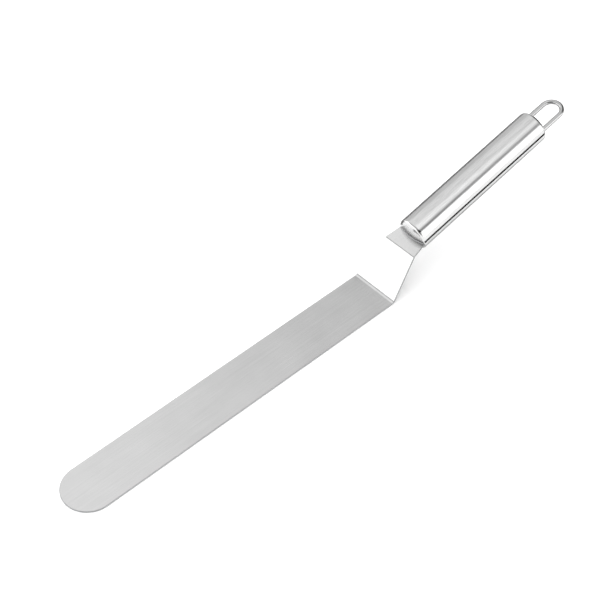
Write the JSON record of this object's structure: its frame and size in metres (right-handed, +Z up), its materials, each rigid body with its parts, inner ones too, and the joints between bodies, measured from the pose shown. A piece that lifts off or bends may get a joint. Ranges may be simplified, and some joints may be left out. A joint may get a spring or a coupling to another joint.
{
  "type": "offset spatula",
  "caption": "Long round-tipped steel strip with a tapering cranked neck, carried by a slim closed tubular handle that ends in a wire hanging loop",
  "frame": {"origin": "middle of the blade's flat underside, which is the face that lies on a table and slides under a cake", "axes": "+X runs along the blade from the round tip towards the handle, +Z is up, away from the surface the blade lies on, and +Y completes a right-handed frame across the blade"},
  "size_m": [0.367, 0.03, 0.0568],
  "materials": {
    "blade_steel": "fine satin grain along the blade",
    "handle_steel": "polished over a fine grain along the tube",
    "cap_steel": "polished",
    "wire_steel": "bright drawn wire"
  },
  "bodies": {
    "root": {"blade": "blade_steel", "handle_tube": "handle_steel", "front_cap": "cap_steel", "end_cap": "cap_steel", "hanging_loop": "wire_steel"}
  },
  "joints": []
}
